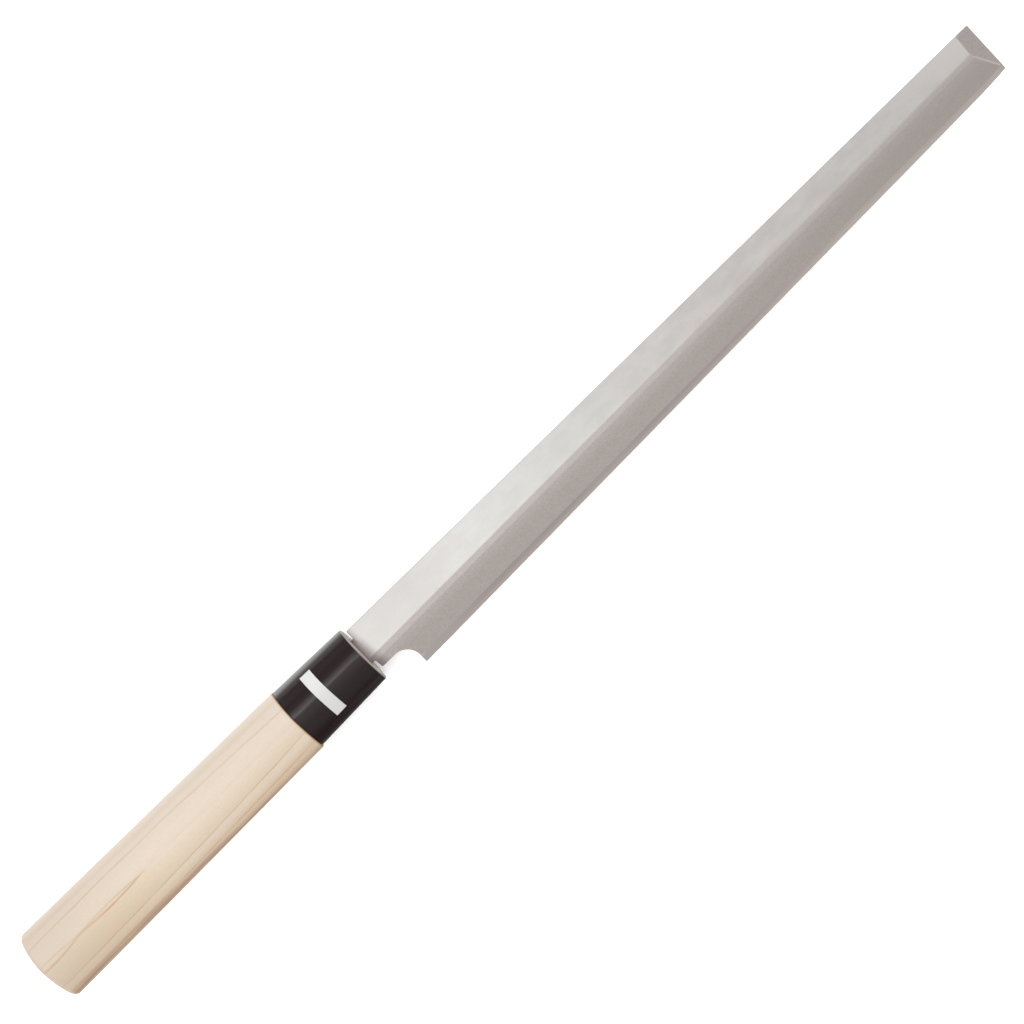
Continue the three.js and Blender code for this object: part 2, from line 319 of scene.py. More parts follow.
def hollow_low_y(x):
    return edge_y(x) + RIM_WIDTH_EDGE


def hollow_high_y(x):
    return spine_y(x) - RIM_WIDTH_SPINE


def hollow_z(x, y):
    """Depth of the hollow ground into the back, which ends in a round run-out near each end."""
    across = 2.0 * (y - hollow_low_y(x)) / (hollow_high_y(x) - hollow_low_y(x)) - 1.0
    from_heel = np.maximum(0.0, 1.0 - (x - HEEL_X) / HOLLOW_RUN_OUT)
    from_tip = np.maximum(0.0, 1.0 - (TIP_X - HOLLOW_INSET - x) / HOLLOW_RUN_OUT)
    return HOLLOW_DEPTH * np.maximum(0.0, 1.0 - across ** 2 - from_heel ** 2 - from_tip ** 2)


# Plan outlines and the meshes raised over them.
def rounded(corners):
    """An open line through (x, y, radius) corners, each rounded to its radius."""
    points = []
    for i, (x, y, radius) in enumerate(corners):
        corner = np.array((x, y))
        if radius == 0.0:
            points.append(corner)
            continue
        back = unit(np.array(corners[i - 1][:2]) - corner)
        ahead = unit(np.array(corners[i + 1][:2]) - corner)
        half_angle = math.acos(np.clip(back @ ahead, -1.0, 1.0)) / 2
        centre = corner + unit(back + ahead) * radius / math.sin(half_angle)
        reach = radius / math.tan(half_angle)
        first = corner + back * reach - centre
        last = corner + ahead * reach - centre
        sweep = math.pi - 2 * half_angle
        for share in np.linspace(0.0, 1.0, ARC_STEPS + 1):
            near = math.sin((1.0 - share) * sweep) / math.sin(sweep)
            far = math.sin(share * sweep) / math.sin(sweep)
            points.append(centre + first * near + last * far)
    return np.array(points)


def subdivided(line, step):
    """The same line with extra points, so that none of its stretches is longer than step."""
    points = []
    for start, end in zip(line[:-1], line[1:]):
        count = max(1, math.ceil(np.linalg.norm(end - start) / step))
        points.extend(mix(start, end, i / count) for i in range(count))
    points.append(line[-1])
    return np.array(points)


def inset(line, distance):
    """The line moved to its left, with each point moved square to its neighbours."""
    way = unit(np.gradient(line, axis=0))
    return line + distance * np.column_stack([-way[:, 1], way[:, 0]])


def distance_to(line, x, y):
    """Least distance from each point to a line of straight stretches."""
    start = line[:-1]
    way = line[1:] - start
    offset = np.stack([x, y], axis=-1)[..., None, :] - start
    share = np.clip((offset * way).sum(-1) / (way ** 2).sum(-1), 0.0, 1.0)
    gap = offset - share[..., None] * way
    return np.sqrt((gap ** 2).sum(-1).min(-1))


def is_inside(outline, points):
    """Whether each point lies within a closed outline."""
    start = outline
    end = np.roll(outline, -1, axis=0)
    x = points[:, None, 0]
    y = points[:, None, 1]
    spans = (start[:, 1] > y) != (end[:, 1] > y)
    rise = np.where(end[:, 1] == start[:, 1], 1.0, end[:, 1] - start[:, 1])
    crossing = start[:, 0] + (y - start[:, 1]) / rise * (end[:, 0] - start[:, 0])
    return (spans & (x < crossing)).sum(1) % 2 == 1


def fill(outline, lines):
    """Triangles over an outline, with edges along those parts of the inner lines that lie clear inside."""
    closed = np.vstack([outline, outline[:1]])
    points = list(outline)
    edges = [(i, (i + 1) % len(outline)) for i in range(len(outline))]
    for line in lines:
        is_kept = is_inside(outline, line) & (distance_to(closed, *line.T) > LINE_CLEARANCE)
        index = len(points) + np.cumsum(is_kept) - 1
        is_linked = is_kept[:-1] & is_kept[1:]
        edges += [(int(i), int(i) + 1) for i in index[:-1][is_linked]]
        points += list(line[is_kept])
    vectors = [Vector(point) for point in points]
    only_inside = 1
    made = delaunay_2d_cdt(vectors, edges, [], only_inside, MERGE_DISTANCE)
    return np.array([tuple(point) for point in made[0]]), np.array(made[2])


def eased(height, distance, radius):
    """A height lowered near an outline, as a round edge of that radius lowers it."""
    inward = np.clip(radius - distance, 0.0, radius)
    return height - radius + np.sqrt(radius ** 2 - inward ** 2)


def sheet_normals(corners, height, facing):
    """Normals of a height function at the corners of triangles, each taken just inside its own."""
    nudge = 0.0002
    inward = 0.04
    x, y = np.moveaxis(mix(corners, corners.mean(1, keepdims=True), inward), -1, 0)
    slope_x = (height(x + nudge, y) - height(x - nudge, y)) / (2 * nudge)
    slope_y = (height(x, y + nudge) - height(x, y - nudge)) / (2 * nudge)
    return unit(np.stack([-slope_x, -slope_y, np.ones_like(x)], axis=-1) * facing)


def wall_normals(points, rim):
    """Outward normals at both ends of each rim edge, blended where the rim runs on smoothly."""
    way = unit(points[rim[:, 1]] - points[rim[:, 0]])
    outward = np.column_stack([way[:, 1], -way[:, 0], np.zeros(len(way))])
    before = {last: normal for last, normal in zip(rim[:, 1], outward)}
    after = {first: normal for first, normal in zip(rim[:, 0], outward)}

    def blended(own, other):
        is_smooth = own @ other > math.cos(math.radians(SMOOTH_RIM_ANGLE))
        return unit(own + other) if is_smooth else own

    starts = [blended(own, before[first]) for own, first in zip(outward, rim[:, 0])]
    ends = [blended(own, after[last]) for own, last in zip(outward, rim[:, 1])]
    return starts, ends


def slab(name, plan, top, bottom):
    """A closed mesh between two height functions. Where the two meet they share their vertices."""
    points, triangles = plan
    count = len(points)
    high = top(*points.T)
    low = bottom(*points.T)
    edges = np.vstack([triangles[:, [0, 1]], triangles[:, [1, 2]], triangles[:, [2, 0]]])
    known = {tuple(edge) for edge in edges}
    rim = np.array([edge for edge in edges if (edge[1], edge[0]) not in known])
    is_rim = np.isin(np.arange(count), rim)
    meets = is_rim & (high - low < SEAM)
    under = np.where(meets, np.arange(count), count + np.cumsum(~meets) - 1)
    lower = np.column_stack([points, low])[~meets]
    vertices = np.vstack([np.column_stack([points, high]), lower])
    corners = points[triangles]
    faces = triangles.tolist() + under[triangles[:, ::-1]].tolist()
    normals = list(sheet_normals(corners, top, 1.0).reshape(-1, 3))
    normals += list(sheet_normals(corners[:, ::-1], bottom, -1.0).reshape(-1, 3))
    for (first, last), start, end in zip(rim, *wall_normals(points, rim)):
        ring = [(first, start), (under[first], start), (under[last], end), (last, end)]
        kept = [pair for i, pair in enumerate(ring) if pair[0] != ring[i - 1][0]]
        if len(kept) > 2:
            faces.append([int(index) for index, _ in kept])
            normals += [normal for _, normal in kept]
    mesh = new_mesh(name, vertices, faces)
    mesh.normals_split_custom_set([tuple(normal) for normal in normals])
    return mesh


def new_mesh(name, points, faces):
    mesh = bpy.data.meshes.new(name)
    mesh.from_pydata((np.asarray(points) * MILLIMETRE).tolist(), [], faces, shade_flat=False)
    mesh.validate()
    return mesh


# The blade's two layers.
def blade_corners(has_tang):
    """Corners of the blade's outline from the tip along the spine, round to the heel."""
    high = spine_y(SHOULDER_X)
    tang = [
        (shoulder_x(tang_y(0.0, 1)), tang_y(SHOULDER_X, 1), TANG_FILLET),
        (-TANG_LENGTH, tang_y(-TANG_LENGTH, 1), TANG_END_RADIUS),
        (-TANG_LENGTH, tang_y(-TANG_LENGTH, -1), TANG_END_RADIUS),
        (shoulder_x(tang_y(0.0, -1)), tang_y(SHOULDER_X, -1), TANG_FILLET),
    ]
    return [
        (TIP_X, SPINE_HEIGHT_TIP, 0.0),
        (shoulder_x(high), high, UPPER_SHOULDER_RADIUS),
        *(tang if has_tang else []),
        (shoulder_x(NECK_UNDERSIDE), NECK_UNDERSIDE, LOWER_SHOULDER_RADIUS),
        (HEEL_X, NECK_UNDERSIDE, CHOIL_RADIUS),
        (HEEL_X, float(edge_y(HEEL_X)), 0.0),
    ]


def blade_stations():
    return np.arange(SHOULDER_X + STATION_STEP / 2, FACET_X - STATION_END_GAP, STATION_STEP)


def lines_between(first, last, shares):
    """Lines along the blade between two height functions, at the given shares of the way."""
    x = blade_stations()
    return [np.column_stack([x, mix(first(x), last(x), share)]) for share in shares]


def ease_lines(line, radius):
    """Inner lines that follow a softened edge closely enough to show it round."""
    turns = np.linspace(0.0, math.pi / 2, EASE_STEPS + 1)[1:]
    return [inset(line, radius * (1.0 - math.cos(turn))) for turn in turns]


def facet_lines():
    """Inner lines along the facet's soft border at the tip."""
    heights = np.linspace(EDGE_HEIGHT_TIP, SPINE_HEIGHT_TIP, FACET_POINTS)
    border = facet_border(heights)
    offsets = np.linspace(-FACET_SPREAD, FACET_SPREAD, FACET_LINES)
    return [np.column_stack([border + offset, heights]) for offset in offsets]


def iron_end_x(y):
    return np.minimum(tip_x(y), facet_weld_x(y))


def tip_line(low, end_x):
    """The square end of a layer from a low height up to the spine."""
    heights = np.linspace(low, SPINE_HEIGHT_TIP, TIP_POINTS)[:-1]
    return np.column_stack([end_x(heights), heights])


def iron_mesh():
    corners = rounded(blade_corners(has_tang=True))
    start_y = band_y(HEEL_X)
    soft_line = corners[corners[:, 1] > start_y + SEAM]
    drop = start_y - (NECK_UNDERSIDE - CHOIL_RADIUS)
    start_x = HEEL_X - CHOIL_RADIUS + math.sqrt(CHOIL_RADIUS ** 2 - drop ** 2)
    end_y = float(band_y(iron_end_x(band_y(TIP_X))))
    band = np.linspace(start_x, float(iron_end_x(end_y)) - IRON_CORNER_CUT, EDGE_POINTS)
    soft_edge = subdivided(soft_line, STATION_STEP)
    end_line = tip_line(end_y + IRON_CORNER_CUT, iron_end_x)
    outline = np.vstack([np.column_stack([band, band_y(band)]), end_line, soft_edge])
    x = blade_stations()
    offsets = np.linspace(-SHINOGI_SPREAD, SHINOGI_SPREAD, SHINOGI_LINES)
    lines = [np.column_stack([x, shinogi_y(x) + offset]) for offset in offsets]
    lines += lines_between(shinogi_y, spine_y, FLAT_SHARES)
    lines += lines_between(shinogi_y, band_y, BEVEL_SHARES)
    lines += [*ease_lines(soft_edge, EDGE_EASE), *facet_lines()]

    def into_tang(x, blade, tang):
        return mix(blade, tang, smooth_step(-x, -SHOULDER_X, TANG_ROOT_LENGTH - SHOULDER_X))

    def top(x, y):
        height = into_tang(x, blade_top(x, y), tang_z(x, 1))
        distance = distance_to(soft_line, x, y)
        return eased(height, distance, np.minimum(EDGE_EASE, height - bottom(x, y)))

    def bottom(x, y):
        return into_tang(x, weld_z(x), tang_z(x, -1))

    return slab("blade_body", fill(outline, lines), top, bottom)


def edge_steel_mesh():
    soft_line = rounded(blade_corners(has_tang=False))
    soft_edge = subdivided(soft_line, STATION_STEP)
    end_y = float(edge_y(tip_x(EDGE_HEIGHT_TIP)))
    edge = np.linspace(HEEL_X, float(tip_x(end_y)), EDGE_POINTS)[:-1]
    end_line = tip_line(end_y, tip_x)
    outline = np.vstack([np.column_stack([edge, edge_y(edge)]), end_line, soft_edge[:-1]])
    lines = lines_between(edge_y, band_y, BAND_SHARES)
    lines += lines_between(hollow_low_y, hollow_high_y, np.linspace(0.0, 1.0, HOLLOW_LINES))
    lines += [*ease_lines(soft_edge, BACK_EASE), tip_line(EDGE_HEIGHT_TIP, facet_weld_x)]

    def top(x, y):
        return np.minimum(weld_z(x), blade_top(x, y))

    def bottom(x, y):
        distance = distance_to(soft_line, x, y)
        depth = np.minimum(BACK_EASE, BACK_EASE_SHARE * top(x, y))
        return hollow_z(x, y) - eased(0.0, distance, depth)

    return slab("edge_layer", fill(outline, lines), top, bottom)


# Handle, collar and label, made of rings that share the same kind of section.
def section_points(section, angles):
    """Points on a section. Angle 0 is on the spine side and a quarter turn is on the ridge."""
    across = np.cos(angles)
    is_ridge_side = np.sin(angles) >= 0.0
    bend = np.where(is_ridge_side, RIDGE_BEND, BACK_BEND)
    power = np.where(is_ridge_side, 1 / RIDGE_ROUND, 1 / BACK_ROUND)
    off_ridge = (np.hypot(across, RIDGE_EASE) - RIDGE_EASE) / (math.hypot(1.0, RIDGE_EASE) - RIDGE_EASE)
    off_middle = np.where(is_ridge_side, off_ridge, np.abs(across))
    reach = np.maximum(0.0, 1.0 - off_middle ** bend) ** power
    shift = np.where(is_ridge_side, section.ridge_shift * (1.0 - across ** 2), 0.0)
    side = np.where(is_ridge_side, 1.0, -1.0)
    y = section.lift + shift + across * section.height / 2
    return y, HANDLE_AXIS_Z + side * reach * section.thickness / 2


def section_ring(x, section):
    angles = np.linspace(0.0, 2 * math.pi, SECTION_SIDES, endpoint=False)
    y, z = section_points(section, angles)
    return np.column_stack([np.full(SECTION_SIDES, x), y, z])


def shrink(section, amount):
    return section._replace(height=section.height - 2 * amount, thickness=section.thickness - 2 * amount)


def scaled(section, share):
    height, thickness, lift, ridge_shift = section
    return Section(height * share, thickness * share, lift, ridge_shift * share)


def section_between(front, rear, share):
    return Section(*(mix(first, last, share) for first, last in zip(front, rear)))


def collar_section(x):
    return section_between(COLLAR_FRONT, COLLAR_REAR, -x / COLLAR_LENGTH)


def grip_section(x):
    return section_between(GRIP_FRONT, GRIP_BUTT, (GRIP_FRONT_X - x) / GRIP_LENGTH)


def loft(name, rings, is_loop, sharp_angle):
    """Joins rings of equal point counts. Open ends are closed by fans from their middles."""
    count = len(rings[0])
    points = [point for ring in rings for point in ring]
    faces = []
    for r in range(len(rings) if is_loop else len(rings) - 1):
        here = r * count
        ahead = (r + 1) % len(rings) * count
        for i in range(count):
            j = (i + 1) % count
            faces.append((here + i, here + j, ahead + j, ahead + i))
    if not is_loop:
        last = (len(rings) - 1) * count
        points += [rings[0].mean(0), rings[-1].mean(0)]
        hubs = (len(points) - 2, len(points) - 1)
        faces += [(hubs[0], (i + 1) % count, i) for i in range(count)]
        faces += [(hubs[1], last + i, last + (i + 1) % count) for i in range(count)]
    mesh = new_mesh(name, points, faces)
    mesh.set_sharp_from_angle(angle=math.radians(sharp_angle))
    return mesh


def butt_rings():
    """Rings of the butt from near its middle, over the dome and round the rim."""
    rim_share = 1.0 - 2 * BUTT_RIM_RADIUS / GRIP_BUTT.height
    shares = list(np.linspace(BUTT_HUB_SHARE, rim_share, BUTT_RINGS))
    for i in range(1, RIM_STEPS + 1):
        shares.append(mix(rim_share, 1.0, math.sin(math.pi / 2 * i / RIM_STEPS)))
    rings = []
    for share in shares:
        bend = max(0.0, (share - rim_share) / (1.0 - rim_share))
        rim = BUTT_RIM_RADIUS * (1.0 - math.sqrt(max(0.0, 1.0 - bend ** 2)))
        x = BUTT_X + BUTT_DOME * share ** BUTT_DOME_POWER + rim
        rings.append(section_ring(x, scaled(grip_section(BUTT_RIM_X), share)))
    return rings


def eased_rings(x, section_at, ease, faces_front):
    """Rings round a softened rim at x, from the outside onto the face."""
    rings = []
    for turn in np.linspace(0.0, math.pi / 2, RIM_STEPS + 1):
        back = ease * (1.0 - math.sin(turn))
        place = x - back if faces_front else x + back
        rings.append(section_ring(place, shrink(section_at(place), ease * (1.0 - math.cos(turn)))))
    return rings


def slot_ring(x, outline):
    """A ring round the tang's slot, with its points in line with those of another ring."""
    middle = np.array([(tang_y(x, 1) + tang_y(x, -1)) / 2, HANDLE_AXIS_Z])
    half = np.array([tang_y(x, 1) - tang_y(x, -1), tang_z(x, 1) - tang_z(x, -1)]) / 2 + SLOT_CLEARANCE
    half[1] += np.where(x > -TANG_ROOT_LENGTH, SPINE_THICKNESS_HEEL - TANG_THICKNESS_MOUTH, 0.0) / 2
    way = outline[:, 1:] - middle
    least = 1e-9
    reach = np.min(half / np.maximum(np.abs(way), least), axis=1)
    return np.column_stack([np.full(len(way), x), middle + way * reach[:, None]])


def handle_mesh():
    def tenon(x):
        return shrink(collar_section(x), COLLAR_WALL + TENON_CLEARANCE)

    places = np.linspace(BUTT_RIM_X, GRIP_FRONT_X - GRIP_FRONT_EASE, GRIP_RINGS)[1:-1]
    body = [section_ring(x, grip_section(x)) for x in places]
    front = eased_rings(GRIP_FRONT_X, grip_section, GRIP_FRONT_EASE, True)
    places = np.linspace(GRIP_FRONT_X, -TENON_RECESS, TENON_RINGS)
    stub = [section_ring(x, tenon(x)) for x in places]
    mouth = slot_ring(-TENON_RECESS, stub[-1])
    face = [mix(stub[-1], mouth, share) for share in TENON_FACE_SHARES]
    places = [-TENON_RECESS, -TANG_ROOT_LENGTH, -TANG_LENGTH / 2, -TANG_LENGTH, SLOT_END_X]
    slot = [slot_ring(x, stub[-1]) for x in places]
    rings = [*butt_rings(), *body, *front, *stub, *face, *slot]
    return loft("handle_wood", rings, is_loop=False, sharp_angle=SHARP_WOOD_ANGLE)


def collar_mesh():
    def bore(x):
        return section_ring(x, shrink(collar_section(x), COLLAR_WALL))

    rear = eased_rings(-COLLAR_LENGTH, collar_section, COLLAR_RIM_EASE / 2, False)
    front = eased_rings(0.0, collar_section, COLLAR_RIM_EASE, True)
    places = np.linspace(-COLLAR_LENGTH, 0.0, COLLAR_RINGS)[1:-1]
    body = [section_ring(x, collar_section(x)) for x in places]
    rings = [*rear[::-1], *body, *front, bore(0.0), bore(-COLLAR_LENGTH)]
    return loft("collar_ring", rings, is_loop=True, sharp_angle=SHARP_ANGLE)


def raised_points(x, angles, rise):
    """Points above the collar's outside, measured along its normal."""
    nudge = 0.02
    section = collar_section(x)
    before_y, before_z = section_points(section, angles - nudge)
    after_y, after_z = section_points(section, angles + nudge)
    normal = unit(np.stack([after_z - before_z, before_y - after_y], axis=-1))
    y, z = section_points(section, angles)
    return np.stack([x, y + normal[..., 0] * rise, z + normal[..., 1] * rise], axis=-1)


def label_mesh():
    """A thin strip of paper that follows the collar over its ridge, put on slightly aslant."""
    half_height = collar_section(-LABEL_SETBACK).height / 2
    first_angle = math.acos((LABEL_HEIGHT / 2 - LABEL_DROP) / half_height)
    last_angle = math.acos((-LABEL_HEIGHT / 2 - LABEL_DROP) / half_height)
    rings = []
    for angle in np.linspace(first_angle, last_angle, LABEL_RINGS):
        middle = -LABEL_SETBACK - LABEL_LEAN * math.cos(angle) * half_height
        across = middle + np.linspace(-LABEL_WIDTH / 2, LABEL_WIDTH / 2, LABEL_POINTS)
        angles = np.full(LABEL_POINTS, angle)
        inside = raised_points(across, angles, LABEL_GAP)
        outside = raised_points(across, angles, LABEL_GAP + LABEL_THICKNESS)
        rings.append(np.concatenate([inside, outside[::-1]]))
    return loft("label_blank", rings, is_loop=False, sharp_angle=SHARP_ANGLE)


# Finishes. Every pattern is laid out in the knife's own millimetres.
class NodeTree:
    """Short calls that add nodes to a tree and link them."""

    def __init__(self, tree):
        self.tree = tree

    def node(self, kind, inputs=None, **settings):
        made = self.tree.nodes.new(kind)
        for name, value in settings.items():
            setattr(made, name, value)
        for key, value in (inputs or {}).items():
            self.feed(made.inputs[key], value)
        return made

    def feed(self, socket, value):
        if isinstance(value, bpy.types.NodeSocket):
            self.tree.links.new(value, socket)
        else:
            socket.default_value = value

    def math(self, operation, first, second=0.0, third=0.0):
        inputs = {0: first, 1: second, 2: third}
        return self.node("ShaderNodeMath", inputs, operation=operation).outputs[0]

    def plus(self, first, second):
        return self.math("ADD", first, second)

    def minus(self, first, second):
        return self.math("SUBTRACT", first, second)

    def times(self, first, second):
        return self.math("MULTIPLY", first, second)

    def dot(self, vector, direction):
        inputs = {0: vector, 1: direction}
        return self.node("ShaderNodeVectorMath", inputs, operation="DOT_PRODUCT").outputs["Value"]

    def ramp(self, value, low, high, to_low=0.0, to_high=1.0, shape="SMOOTHSTEP"):
        names = ("Value", "From Min", "From Max", "To Min", "To Max")
        inputs = dict(zip(names, (value, low, high, to_low, to_high)))
        return self.node("ShaderNodeMapRange", inputs, interpolation_type=shape).outputs[0]


class Finish(NodeTree):
    """One material, called f below, with the knife's own x, y and z to lay its patterns out in."""

    def __init__(self, name):
        self.material = bpy.data.materials.new(name)
        self.material.use_nodes = True
        super().__init__(self.material.node_tree)
        self.shader = self.tree.nodes["Principled BSDF"]
        inputs = {
            "Vector": self.node("ShaderNodeTexCoord").outputs["Object"],
            "Location": PLACEMENT.translation,
            "Rotation": PLACEMENT.to_euler(),
            "Scale": (MILLIMETRE, MILLIMETRE, MILLIMETRE),
        }
        self.place = self.node("ShaderNodeMapping", inputs, vector_type="TEXTURE").outputs[0]
        parts = self.node("ShaderNodeSeparateXYZ", {0: self.place})
        self.x, self.y, self.z = parts.outputs

    def set(self, **inputs):
        for name, value in inputs.items():
            self.feed(self.shader.inputs[name.replace("_", " ").title().replace("Ior", "IOR")], value)

    def along(self, direction):
        return self.dot(self.place, direction)

    def noise(self, per_millimetre, detail=2.0, roughness=0.5):
        scaling = {0: self.place, 1: per_millimetre}
        vector = self.node("ShaderNodeVectorMath", scaling, operation="MULTIPLY").outputs[0]
        inputs = {"Vector": vector, "Scale": 1.0, "Detail": detail, "Roughness": roughness}
        return self.node("ShaderNodeTexNoise", inputs).outputs[0]

    def blend(self, share, first, second):
        inputs = {0: share, 6: first, 7: second}
        return self.node("ShaderNodeMix", inputs, data_type="RGBA").outputs[2]

    def layer(self, ground, value, fade, tone):
        """Lays a tone over the ground as a value runs through a fade."""
        return self.blend(self.ramp(value, *fade), ground, tone)

    def speckled(self, ground, per_millimetre, size, share, tone):
        """Scatters round specks of a tone, one to each cell of a jumbled grid."""
        inputs = {"Vector": self.place, "Scale": per_millimetre}
        near = self.node("ShaderNodeTexVoronoi", inputs).outputs["Distance"]
        return self.layer(ground, near, (size, size * SPECK_CORE, 0.0, share), tone)

    def bump(self, height, distance):
        inputs = {"Height": height, "Distance": distance * MILLIMETRE, "Strength": 1.0}
        self.set(normal=self.node("ShaderNodeBump", inputs).outputs[0])


def above_straight(f, line_y):
    """Distance above a straight line along the knife, given as a function of x."""
    slope = line_y(1.0) - line_y(0.0)
    return f.minus(f.along((-slope, 1.0, 0.0)), line_y(0.0))


def grey(value, green=1.0, blue=1.0):
    return (value, value * green, value * blue, 1.0)


# Looks. Two tones are the dark and the light of a grain. A fade holds two values, mostly places in
# millimetres, and then the shares there if they aren't 0 and 1. A layer holds a fade and a tone.
# Specks hold their cells per millimetre, their size in cells, their share and their tone.
SPECK_CORE = 0.4

# Iron.
CLOUD_SHARE = 0.7
FLAT_HEEL_TONES = (grey(0.516, 0.972, 0.94), grey(0.584, 0.978, 0.948))
FLAT_TIP_TONES = (grey(0.492, 0.953, 0.922), grey(0.587, 0.957, 0.928))
FLAT_TIP_FADE = (95.0, 170.0)
# Painted shade that darkens the flat towards the heel.
FLAT_HEEL_PAINTED_SHADE = ((45.0, 24.0, 0.0, 0.6), grey(0.454, 0.968, 0.935))
FLAT_CORNER = ((250.0, 300.0), grey(0.60, 0.95, 0.918))
FLAT_CORNER_LEAN = 4.0
BEVEL_UPPER_TONES = (grey(0.459, 0.91, 0.867), grey(0.588, 0.915, 0.872))
BEVEL_LOWER_TONES = (grey(0.401, 0.90, 0.845), grey(0.524, 0.905, 0.85))
BEVEL_LOWER_FADE = (-1.5, -5.0)
BEVEL_TIP = ((100.0, 250.0, 0.27, 0.6), grey(0.378, 0.895, 0.845))
STAINS = (0.4, 0.12, 0.3, grey(0.333, 0.86, 0.79))
PITS = (0.22, 0.05, 0.6, grey(0.247, 0.90, 0.86))
WORN_SHARE_FADE = (20.0, 170.0, 0.23, 0.25)
WORN_TOP_FADE = (60.0, 240.0, 0.75, 0.1)
WORN_LOWER_FADE = (-1.4, -0.6)
WORN_END = 1.35
FACET_TONES = (grey(0.418, 0.89, 0.865), grey(0.512, 0.90, 0.875))
FACET_FADE = (-0.12, -0.02)
# A painted highlight along the corner where the tip's facet meets the bevel.
FACET_CORNER_HIGHLIGHT = ((0.18, 0.03, 0.0, 0.5), grey(0.68, 0.93, 0.89))
# Painted shade and a painted reflection of the dark collar on the neck, purplish grey, strongest next to
# the collar.
NECK_PAINTED_SHADE = ((4.8, 0.8), grey(0.24, 0.86, 0.84))
NECK_WANDER = 0.8
NECK_LEAN = 0.15
TANG_TONES = (grey(0.08, 0.82, 0.75), grey(0.19, 0.86, 0.80))
TANG_FADE = (0.2, -1.0)
FLAT_BUMP_SHARE = 0.45

# Edge steel.
BAND_HEEL_LOW_TONES = (grey(0.374, 0.88, 0.83), grey(0.432, 0.885, 0.84))
BAND_HEEL_HIGH_TONES = (grey(0.315, 0.868, 0.83), grey(0.362, 0.872, 0.84))
BAND_TIP_LOW_TONES = (grey(0.439, 0.893, 0.828), grey(0.507, 0.90, 0.838))
BAND_TIP_HIGH_TONES = (grey(0.393, 0.895, 0.84), grey(0.456, 0.90, 0.85))
BAND_TIP_FADE = (120.0, 210.0)
BAND_START_TONES = (grey(0.366, 0.90, 0.85), grey(0.428, 0.905, 0.855))
BAND_START_FADE = (50.0, 18.0)
BAND_RISE_FADE = (0.3, 2.0)
BACK_TONES = (grey(0.50, 0.97, 0.95), grey(0.58, 0.97, 0.95))
BACK_FADE = (-0.2, -0.6)

# Wood.
# Painted shade: a slightly darker tone over the grip's spine side, above the second growth line, where the
# key light falls more strongly.
SPINE_SIDE_SHADE_WOOD = ((-4.5, 3.0), (0.475, 0.416, 0.35, 1.0))
PALE_WOOD = (0.525, 0.462, 0.393, 1.0)
CREAM_WOOD = (0.488, 0.415, 0.341, 1.0)
WARM_WOOD = (0.552, 0.468, 0.37, 1.0)
TAN_WOOD = (0.53, 0.42, 0.295, 1.0)
UNDER_WOOD = (0.45, 0.32, 0.205, 1.0)
SHADED_WOOD = (0.26, 0.16, 0.095, 1.0)
# Painted shade: a darker, greyer tone over the rear of the grip towards the butt.
BUTT_PAINTED_SHADE_WOOD = ((-85.0, -140.0, 0.0, 0.6), (0.42, 0.357, 0.292, 1.0))
END_WOOD = ((BUTT_RIM_X, BUTT_X + BUTT_DOME / 2, 0.0, 0.75), (0.38, 0.31, 0.24, 1.0))
# Painted sheen: a paler, greyer tone along the grip's rim on the spine side.
RIM_SHEEN_WOOD = ((0.4, 2.6, 0.0, 0.8), (0.51, 0.465, 0.41, 1.0))
LINE_WOOD = (0.34, 0.17, 0.055, 1.0)
JOINT_WOOD = ((GRIP_FRONT_X - 0.55, GRIP_FRONT_X - 0.1, 0.0, 0.8), (0.25, 0.13, 0.05, 1.0))
SCORCHED_WOOD = (0.10, 0.055, 0.03, 1.0)
TENON_WOOD = ((-2.0, -1.0), (0.52, 0.435, 0.395, 1.0))
GRAIN_LEAN = 0.2
RIDGE_SIDE_REACH = 4.0
WANDER_SIZE = 0.7
FLECK_FADE = (0.42, 0.72, 0.0, 0.22)
FLECK_BUMP_SHARE = 0.6
TAN_FADE = (-75.0, -120.0)
TAN_SHARE = 0.85
# Below the last growth line the wood turns to the under tone: partly tanner wood, partly painted shade
# towards the edge side.
UNDER_AND_SHADE_FADE = (0.15, -0.5, 0.0, 0.6)
SHADE_FADE = (2.2, 0.1)
SHADE_WIDENING = (-60.0, -115.0, 1.0, 0.72)
SCORCH_FADE = (0.8, 0.1, 0.0, 0.7)
SCORCH_START_FADE = (-COLLAR_LENGTH, -COLLAR_LENGTH + 1.0)

# The heart line parts into two towards the butt and meets again, as round a lens.
HEART_LINE = (-0.62, -0.33, -0.2)
HEART_BELOW_FADE = (0.4, -0.4, 0.0, 0.5)
HEART_UPPER_FADE = (0.5, 0.0, 0.0, 0.40)
HEART_LOWER_FADE = (0.6, 0.0, 0.0, 0.8)
LENS_START = -121.4
LENS_END = -95.0
LENS_HALF_FADE = (LENS_START - 6.0, LENS_START + 6.0, 1.0, 0.65)
LENS_CLOSING_FADE = (LENS_END + 0.5, LENS_END - 4.0)
LENS_SHOWN_FADE = (LENS_END + 3.0, LENS_END - 3.0)

# Growth lines from the spine side down: heights on the ridge side at butt, middle and front, the
# line's half width, how far its shade reaches up, and the strengths of line and shade.
GrowthLine = namedtuple("GrowthLine", "heights width reach line_strength shade_strength")
GROWTH_LINES = [
    GrowthLine((9.4, 9.35, 8.8), 0.9, 1.6, 0.12, 0.12),
    GrowthLine((6.45, 7.0, 5.4), 0.42, 0.9, 0.26, 0.10),
    GrowthLine((-8.7, -7.2, -4.4), 0.42, 5.0, 0.36, 0.20),
    GrowthLine((-11.5, -10.4, -8.4), 0.55, 2.8, 0.40, 0.45),
]
LINE_BORDER_FADE = (-0.15, 0.05)

